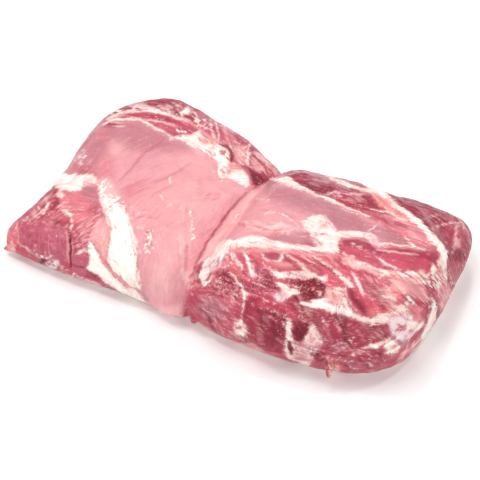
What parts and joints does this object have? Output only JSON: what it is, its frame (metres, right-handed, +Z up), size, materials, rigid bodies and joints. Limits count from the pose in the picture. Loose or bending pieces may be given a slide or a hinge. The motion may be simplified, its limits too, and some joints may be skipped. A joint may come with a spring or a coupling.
{
  "type": "raw pork loin",
  "caption": "Raw boneless pork loin lying rib side up: a broad flat lobe and a thick rounded lobe parted by a deep cross crease, on a flat underside.",
  "frame": {"origin": "middle of the bounding box in plan, on the surface that the loin rests on", "axes": "+X along the loin from the flat lobe to the thick lobe, +Y across it to the back, +Z up"},
  "size_m": [0.3262, 0.199, 0.0694],
  "materials": {
    "loin": "moist raw meat, pink lean with cream fat and thin pale membranes"
  },
  "bodies": {
    "root": {"loin": "loin"}
  },
  "joints": []
}
